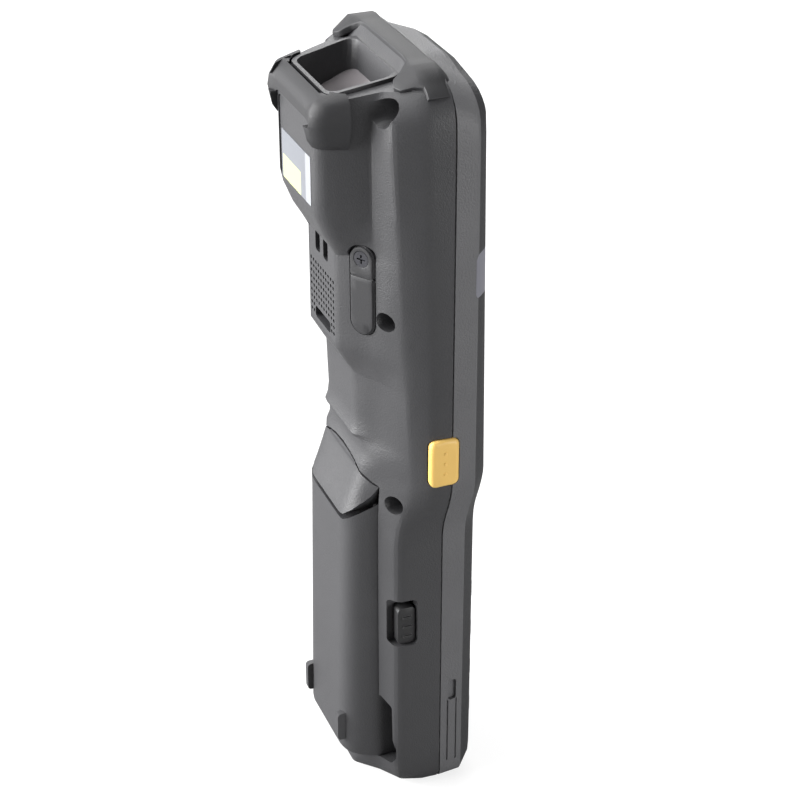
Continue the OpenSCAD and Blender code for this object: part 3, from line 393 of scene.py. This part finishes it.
def plain(name, colour, roughness, metallic=0.0):
    """A finish whose colour is the same all over; returns its shader."""
    finishes[name], tree, shader = new_material(name)
    shader.inputs["Base Color"].default_value = srgb(*colour)
    shader.inputs["Metallic"].default_value = metallic
    place = add_node(tree, "TexCoord")
    smears = add_node(tree, "TexNoise")
    smears.inputs["Scale"].default_value = SMEAR_SCALE
    polish = add_node(tree, "MapRange")
    polish.inputs["To Min"].default_value = roughness * SMEAR_LOW
    polish.inputs["To Max"].default_value = roughness * SMEAR_HIGH
    tree.links.new(place.outputs["Object"], smears.inputs["Vector"])
    tree.links.new(smears.outputs["Fac"], polish.inputs["Value"])
    tree.links.new(polish.outputs["Result"], shader.inputs["Roughness"])
    return shader


plain("steel", (84, 84, 88), 0.4, 1.0)
plain("contacts", (214, 180, 110), 0.3, 1.0)
plain("key_ink", (206, 208, 212), 0.5)
glass = plain("black_glass", (14, 14, 16), 0.06)
glass.inputs["Coat Weight"].default_value = 1.0
glass.inputs["Coat Roughness"].default_value = 0.03
# The window glass's pale grey base colour is a painted reflection of the white surroundings.
plain("window_glass", (126, 122, 124), 0.12).inputs["Coat Weight"].default_value = 1.0
plain("light_pipe", (150, 150, 162), 0.3).inputs["Transmission Weight"].default_value = 0.35
print("all finishes", sorted(finishes))

# %% [markdown]
# ## Fields
# The label is silver foil with a pale green block and a lighter strip. The front shell's side, along the seam, is
# painted paler than its chamfer: partly its own lighter matte finish, partly painted light on the lit side. Under
# the glass, the display's field is a little lighter than the black border. All are boxes in space that repaint a
# finish, which is simpler than cutting the pieces up or unwrapping them.


# %% Print the fields
def print_field(name, dark, light, low, high):
    """Gives a box of a finish, between two corners in millimetres, its own two tones."""
    tree = finishes[name].node_tree
    base = tree.nodes["Principled BSDF"].inputs["Base Color"]
    place = add_node(tree, "TexCoord")
    field = add_node(tree, "Group", node_tree=field_group)
    field.inputs["Centre"].default_value = [(a + b) / 2 * MM for a, b in zip(low, high)]
    field.inputs["Half size"].default_value = [(b - a) / 2 * MM for a, b in zip(low, high)]
    tree.links.new(place.outputs["Object"], field.inputs["Vector"])
    tone = add_node(tree, "Mix", data_type="RGBA")
    tone.inputs[0].default_value = 0.0
    tone.inputs[6].default_value = srgb(*dark)
    tone.inputs[7].default_value = srgb(*light)
    paint = add_node(tree, "Mix", data_type="RGBA")
    paint.inputs[6].default_value = base.default_value
    if base.links:
        under = base.links[0].from_socket
        factor = under.node.inputs[0].links
        if factor:
            tree.links.new(factor[0].from_socket, tone.inputs[0])
        tree.links.new(under, paint.inputs[6])
    tree.links.new(field.outputs["Mask"], paint.inputs[0])
    tree.links.new(tone.outputs[2], paint.inputs[7])
    tree.links.new(paint.outputs[2], base)


FAR = 500.0  # past every face of the terminal
GLASS_BORDER = 3.6
BAND_DEPTH = 7.7  # how far the paler band, partly painted light, reaches in front of the seam
LABEL_BLOCK = (-3.5, -FAR, 194.0), (10.5, FAR, 201.3)
LABEL_STRIP = (-11.5, -FAR, 190.0), (-7.4, FAR, 212.0)
PALER_SIDE_AND_PAINTED_LIGHT = (-FAR, SEAM_Y - BAND_DEPTH, -FAR), (FAR, 0.0, FAR)

print_field("label", (196, 205, 146), (202, 211, 152), *LABEL_BLOCK)
print_field("label", (158, 160, 164), (170, 172, 176), *LABEL_STRIP)
# The front shell's side band: partly a paler matte finish, partly painted light on the lit side, against the darker
# chamfer.
print_field("front_plastic", (92, 92, 94), (110, 110, 112), *PALER_SIDE_AND_PAINTED_LIGHT)
low, high = [[v / MM for v in corner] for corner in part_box("display_glass")]
view_low = (low[0] + GLASS_BORDER, -FAR, low[2] + GLASS_BORDER)
view_high = (high[0] - GLASS_BORDER, FAR, high[2] - GLASS_BORDER)
print_field("black_glass", (30, 33, 38), (30, 33, 38), view_low, view_high)
print("display view", [round(view_high[axis] - view_low[axis], 1) for axis in (0, 2)])

# %% [markdown]
# ## Finishes on the CAD pieces
# Each CAD piece has a material slot, named for what it is moulded or cut from. The finish of that name replaces the
# grey that the piece came with, so that a new piece in a known slot needs no new line here.

# %% Put the finishes on the frame
slot_of = {s["node"]: s["material_slot"] for s in frame["record"]["subparts"]}
for name, piece in frame["nodes"].items():
    piece.data.materials.clear()
    piece.data.materials.append(finishes[slot_of[name]])
print(len(slot_of), "nodes finished")

# %% [markdown]
# ## Soft edges and soft shading
# A moulded shell has no sharp edge: the tool leaves a small radius on each, and a highlight runs along it. The
# shells that are in view get a copy with merged flat faces, so that a Bevel modifier can round every sharp edge.
# The CAD surfaces are lofts of flat facets, so the copy is also cut into small faces, and each corner takes the mean
# direction of the surface near it. The shape stays the CAD one apart from the roundings, and the light runs over it
# as over a real moulding. A subdivision surface would be smoother still, but it shrinks thin walls off their seats.

# %% Rounded copies
MERGE = 2e-6  # in metres: points nearer than this become one
FLAT = math.radians(0.4)  # faces that turn by less than this become one
ROUNDING = 1  # the material index that marks the faces of a rounding


def evaluated_mesh(thing):
    """The mesh of an object with its modifiers applied."""
    return bpy.data.meshes.new_from_object(thing.evaluated_get(bpy.context.evaluated_depsgraph_get()))


def rounded_copy(node, width, sharp, segments):
    """A copy of a CAD node with merged flat faces and rounded sharp edges."""
    mesh = frame["nodes"][node].data.copy()
    shape = bmesh.new()
    shape.from_mesh(mesh)
    bmesh.ops.remove_doubles(shape, verts=shape.verts, dist=MERGE)
    bmesh.ops.dissolve_limit(shape, angle_limit=FLAT, verts=shape.verts, edges=shape.edges)
    for face in shape.faces:
        face.smooth = True
    shape.to_mesh(mesh)
    shape.free()
    mesh.set_sharp_from_angle(angle=math.radians(sharp))
    mesh.materials.append(mesh.materials[0])
    piece = add_object(node + "_finished", mesh)
    bevel = piece.modifiers.new("edge", "BEVEL")
    bevel.limit_method = "ANGLE"
    bevel.angle_limit = math.radians(sharp)
    bevel.width = width * MM
    bevel.segments = segments
    bevel.use_clamp_overlap = True
    bevel.material = ROUNDING
    rounded = evaluated_mesh(piece)
    piece.modifiers.clear()
    piece.data = rounded
    return piece


print("roundings merge points within", MERGE / MM, "mm")

# %% Small faces
FIRST_CUT = 0.37  # where the first plane lies within a step, so that it misses the faces of the CAD
ON_PLANE = 1e-7  # in metres: a point this near a plane counts as on it


def cut_small(mesh, step):
    """Cuts a mesh with planes along all three axes, so that no face is much longer than step."""
    shape = bmesh.new()
    shape.from_mesh(mesh)
    corners = np.array([v.co[:] for v in shape.verts])
    for axis in range(3):
        normal = [0, 0, 0]
        normal[axis] = 1
        low, high = corners[:, axis].min(), corners[:, axis].max()
        for place in np.arange(low + step * FIRST_CUT, high, step):
            point = [0, 0, 0]
            point[axis] = float(place)
            bmesh.ops.bisect_plane(shape, geom=shape.verts[:] + shape.edges[:] + shape.faces[:],
                                   plane_co=point, plane_no=normal, dist=ON_PLANE)
    bmesh.ops.triangulate(shape, faces=[f for f in shape.faces if len(f.verts) > 4])
    shape.to_mesh(mesh)
    shape.free()


print("first plane at", FIRST_CUT, "of a step")

# %% [markdown]
# ### The mean direction of a surface
# A corner belongs to a vertex and a face. Its soft normal is the mean of the nearby faces that look much the same
# way, weighted by their area and by how near they are. So a facet blends into the next one of its curve, but not
# into the wall round the corner. Where a rounding meets a face, it takes that face's soft normal. Inside the
# rounding, where no such face touches, it keeps its own direction, and those points are marked for a painted edge
# highlight and a smoother polish.

# %% Soft normals
TINY = 1e-12


def unit(vector, fallback=None):
    """A vector at length one, or the fallback if it has no length."""
    size = np.linalg.norm(vector)
    if size <= TINY and fallback is not None:
        return fallback
    return vector / max(size, TINY)


def faces_around(mesh):
    """For each vertex, the faces that meet there."""
    around = [[] for _ in mesh.vertices]
    for face in mesh.polygons:
        for vertex in face.vertices:
            around[vertex].append(face.index)
    return around


def soft_directions(mesh, around, edge, reach, spread):
    """The soft normal of each corner, by its vertex and face."""
    faces = mesh.polygons
    normals = np.array([f.normal[:] for f in faces])
    areas = np.array([f.area for f in faces])
    tree = KDTree(len(faces))
    for face in faces:
        tree.insert(face.center, face.index)
    tree.balance()
    limit = math.cos(math.radians(spread))
    soft = {}
    for vertex in mesh.vertices:
        own = around[vertex.index]
        near = tree.find_range(vertex.co, reach)
        if near:
            index = np.array([hit[1] for hit in near], dtype=int)
            weight = (1 - (np.array([hit[2] for hit in near]) / reach) ** 2) ** 2
        else:
            index, weight = np.array(own), np.ones(len(own))
        weight = weight * areas[index] + TINY
        flats = [f for f in own if not edge[f]]
        for face in flats:
            alike = normals[index] @ normals[face] > limit
            mean = (normals[index] * (weight * alike)[:, None]).sum(axis=0)
            soft[vertex.index, face] = unit(mean, normals[face])
        for face in own:
            if edge[face] and flats:
                best = max(flats, key=lambda f: normals[f] @ normals[face])
                soft[vertex.index, face] = soft[vertex.index, best]
            elif edge[face]:
                soft[vertex.index, face] = unit(sum(normals[f] * areas[f] for f in own))
    return soft


def soften(mesh, reach, spread):
    """Gives a mesh soft normals and the mask of its roundings, which carries a painted edge highlight."""
    edge = [face.material_index == ROUNDING for face in mesh.polygons]
    around = faces_around(mesh)
    soft = soft_directions(mesh, around, edge, reach, spread)
    corners = [None] * len(mesh.loops)
    for face in mesh.polygons:
        face.material_index = 0
        face.use_smooth = True
        for loop in face.loop_indices:
            corners[loop] = soft[mesh.loops[loop].vertex_index, face.index]
    # Points inside a rounding carry the mask of the painted edge highlight and of the smoother polish.
    edge_highlight_and_polish = mesh.attributes.new("edge_highlight_and_polish", "FLOAT", "POINT")
    edge_highlight_and_polish.data.foreach_set("value", [float(all(edge[f] for f in own)) for own in around])
    marks = mesh.attributes.get("sharp_edge")
    if marks:
        mesh.attributes.remove(marks)
    mesh.normals_split_custom_set([tuple(float(c) for c in normal) for normal in corners])


print("soft shading ready")


# %% The eleven shells in view
def finished(node, width, sharp=40.0, segments=2, reach=3.0, spread=42.0, step=4.0):
    """A copy of a CAD node with rounded edges and soft shading, which stands for the node."""
    piece = rounded_copy(node, width, sharp, segments)
    cut_small(piece.data, step * MM)
    soften(piece.data, reach * MM, spread)
    while len(piece.data.materials) > 1:
        piece.data.materials.pop()
    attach(piece, frame["nodes"][node]["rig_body"])
    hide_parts(node)
    return piece


RUBBER_EDGE = dict(width=0.7, sharp=50, segments=3, reach=2.2, spread=60, step=3)
SMALL_EDGE = dict(width=0.3, reach=1.0, step=3)
SHELLS = {
    "front_case": dict(width=0.4, reach=2.5, spread=20),
    "rear_case": dict(width=0.35, reach=4.0, spread=32),
    "front_bumper": RUBBER_EDGE,
    "rear_bumper": RUBBER_EDGE,
    "battery_pack": dict(width=0.5, reach=4.0),
    "battery_latch": dict(width=0.4, reach=3.5, step=3),
    "battery_lock": dict(width=0.25, reach=1.0, step=3),
    "port_cover_tab": SMALL_EDGE,
    "port_cover_flap": SMALL_EDGE,
    "scan_key_left": SMALL_EDGE,
    "scan_key_right": SMALL_EDGE,
}
shells = {node: finished(node, **values) for node, values in SHELLS.items()}
for slot in shells["front_case"].material_slots:
    slot.material = finishes["front_plastic"]
print("finished copies", {n: len(p.data.polygons) for n, p in shells.items()})

# %% [markdown]
# ## Printed figures
# The keys carry pad-printed figures in pale ink: a layer a few hundredths of a millimetre thick. Blender's own font
# gives the numbers. Each is turned into a mesh, stood up to face the display side, and laid on its key's top, so it
# moves with the key. A painted texture would need an image for every key.

# %% Figures on the number keys
INK = 0.03
FIGURE_SIZE = 5.2
KEY_FIGURES = ["1", "2", "3", "+", "4", "5", "6", "-", "7", "8", "9", "*", ".", "0", "#", "="]
UPRIGHT = math.radians(90)


def add_piece(name, mesh, node, material):
    """An object for a mesh that is already in place, which rides with a CAD node and takes the given finish."""
    piece = add_object(name, mesh)
    mesh.materials.clear()
    mesh.materials.append(material)
    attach(piece, frame["nodes"][node]["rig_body"])
    return piece


def top_of(key):
    """The middle of a key's face on the display side."""
    low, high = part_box(key)
    return Vector(((low[0] + high[0]) / 2, low[1], (low[2] + high[2]) / 2))


def figure(name, text, key):
    """A flat printed figure in the middle of a key's top."""
    curve = bpy.data.curves.new(name, "FONT")
    curve.body = text
    curve.size = FIGURE_SIZE * MM
    curve.extrude = INK / 2 * MM
    curve.resolution_u = 3
    sample = add_object(name + "_curve", curve)
    mesh = evaluated_mesh(sample)
    bpy.data.objects.remove(sample)
    mesh.transform(Matrix.Rotation(UPRIGHT, 4, "X"))
    x, y, z = zip(*[v.co for v in mesh.vertices])
    back_middle = Vector(((min(x) + max(x)) / 2, max(y), (min(z) + max(z)) / 2))
    mesh.transform(Matrix.Translation(top_of(key) - back_middle))
    return add_piece(name, mesh, key, finishes["key_ink"])


figures = [figure(f"figure_{k}", text, f"key_{k}") for k, text in enumerate(KEY_FIGURES, 1)]
print(len(figures), "figures")

# %% [markdown]
# ## Arrows, bars and squares
# The direction key has an arrowhead towards each side, and the four soft keys beside it have a bar or a square. They
# are simple enough to come straight from bmesh: a circle of three points is a triangle, and a scaled grid is a bar.
# Each is extruded by the ink's thickness, so that it is a closed body like the figures.

# %% Marks on the direction key and the soft keys
ARROW_RADIUS, ARROW_RING = 1.2, 9.1
BAR, SQUARE = (0.6, 5.0, 1.0), (1.6, 1.6, 1.0)  # how a flat square of one millimetre is stretched


def add_ink_mark(name, shape, key):
    """Stands a flat shape up, gives it the ink's thickness and lays it on a key's top."""
    bmesh.ops.rotate(shape, verts=shape.verts, cent=(0, 0, 0), matrix=Matrix.Rotation(UPRIGHT, 3, "X"))
    made = bmesh.ops.extrude_face_region(shape, geom=shape.faces[:])
    raised = [g for g in made["geom"] if isinstance(g, bmesh.types.BMVert)]
    bmesh.ops.translate(shape, verts=raised, vec=(0, -INK * MM, 0))
    bmesh.ops.recalc_face_normals(shape, faces=shape.faces)
    bmesh.ops.translate(shape, verts=shape.verts, vec=top_of(key))
    add_piece(name, to_mesh(shape, name), key, finishes["key_ink"])


shape = bmesh.new()
for quarter in range(4):
    arrow = bmesh.ops.create_circle(shape, cap_ends=True, segments=3, radius=ARROW_RADIUS * MM)["verts"]
    turn = Matrix.Rotation(math.radians(90 * quarter), 4, "Z") @ Matrix.Translation((0, ARROW_RING * MM, 0))
    bmesh.ops.transform(shape, matrix=turn, verts=arrow)
add_ink_mark("direction_arrows", shape, "nav_key")

for k in range(1, 5):
    shape = bmesh.new()
    bmesh.ops.create_grid(shape, x_segments=1, y_segments=1, size=0.5 * MM)
    bmesh.ops.scale(shape, verts=shape.verts, vec=BAR if k % 2 else SQUARE)
    add_ink_mark(f"soft_mark_{k}", shape, f"soft_key_{k}")
print("arrow ring at", [round(v / MM, 1) for v in top_of("nav_key")])

# %% [markdown]
# ## Marks on the yellow keys
# Each side key has three small raised pips in a column, so that a thumb finds it without looking. Low domes do:
# a sphere squashed flat and sunk to its middle in the key's face, in the key's own plastic.

# %% Raised pips
PIP_RADIUS, PIP_PITCH = 0.6, 3.3
PIP_FLATTEN = 0.5

for side in ("left", "right"):
    key = f"scan_key_{side}"
    low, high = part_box(key)
    out_x = low[0] if side == "left" else high[0]
    shape = bmesh.new()
    for step in (-1, 0, 1):
        pip = bmesh.ops.create_uvsphere(shape, u_segments=16, v_segments=8, radius=PIP_RADIUS * MM)["verts"]
        bmesh.ops.scale(shape, verts=pip, vec=(PIP_FLATTEN, 1.0, 1.0))
        pip_z = (low[2] + high[2]) / 2 + step * PIP_PITCH * MM
        bmesh.ops.translate(shape, verts=pip, vec=(out_x, (low[1] + high[1]) / 2, pip_z))
    for face in shape.faces:
        face.smooth = True
    add_piece(f"pips_{side}", to_mesh(shape, f"pips_{side}"), key, finishes["key_yellow"])
print("pips on both yellow keys")

# %% [markdown]
# ## The fold of the port cover
# The cover is one rubber moulding that bends at a thin web below its screw. The CAD frame has its two stiff ends,
# and the web between them is added here. It is a cube scaled to the slot, with a few cuts across, which would let
# it bend; it is not tied to either body, so it does not follow them.

# %% Fold web
COVER_TURN = math.radians(34)
COVER_AT = Vector((-17.6, 19.2 + SEAM_Y, 0)) * MM
WEB_WIDTH = 7.2 * MM
WEB_LOW, WEB_HIGH = 0.75 * MM, 1.2 * MM  # its two faces, measured out from the shoulder
WEB_CUTS = 3

tab_low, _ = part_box("port_cover_tab")
_, flap_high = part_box("port_cover_flap")
fold_z = (tab_low[2] + flap_high[2]) / 2
shape = bmesh.new()
bmesh.ops.create_cube(shape, size=1.0)
bmesh.ops.scale(shape, verts=shape.verts, vec=(WEB_WIDTH, WEB_HIGH - WEB_LOW, tab_low[2] - flap_high[2]))
upright = [e for e in shape.edges if abs(e.verts[0].co.z - e.verts[1].co.z) > MERGE]
bmesh.ops.subdivide_edges(shape, edges=upright, cuts=WEB_CUTS, use_grid_fill=True)
bmesh.ops.translate(shape, verts=shape.verts, vec=(0, (WEB_LOW + WEB_HIGH) / 2, fold_z))
bmesh.ops.rotate(shape, verts=shape.verts, cent=(0, 0, 0), matrix=Matrix.Rotation(COVER_TURN, 3, "Z"))
bmesh.ops.translate(shape, verts=shape.verts, vec=COVER_AT)
web = add_object("cover_fold", to_mesh(shape, "cover_fold"))
web.data.materials.append(finishes["rubber"])
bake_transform(web)
print("fold at", round(fold_z / MM, 2))
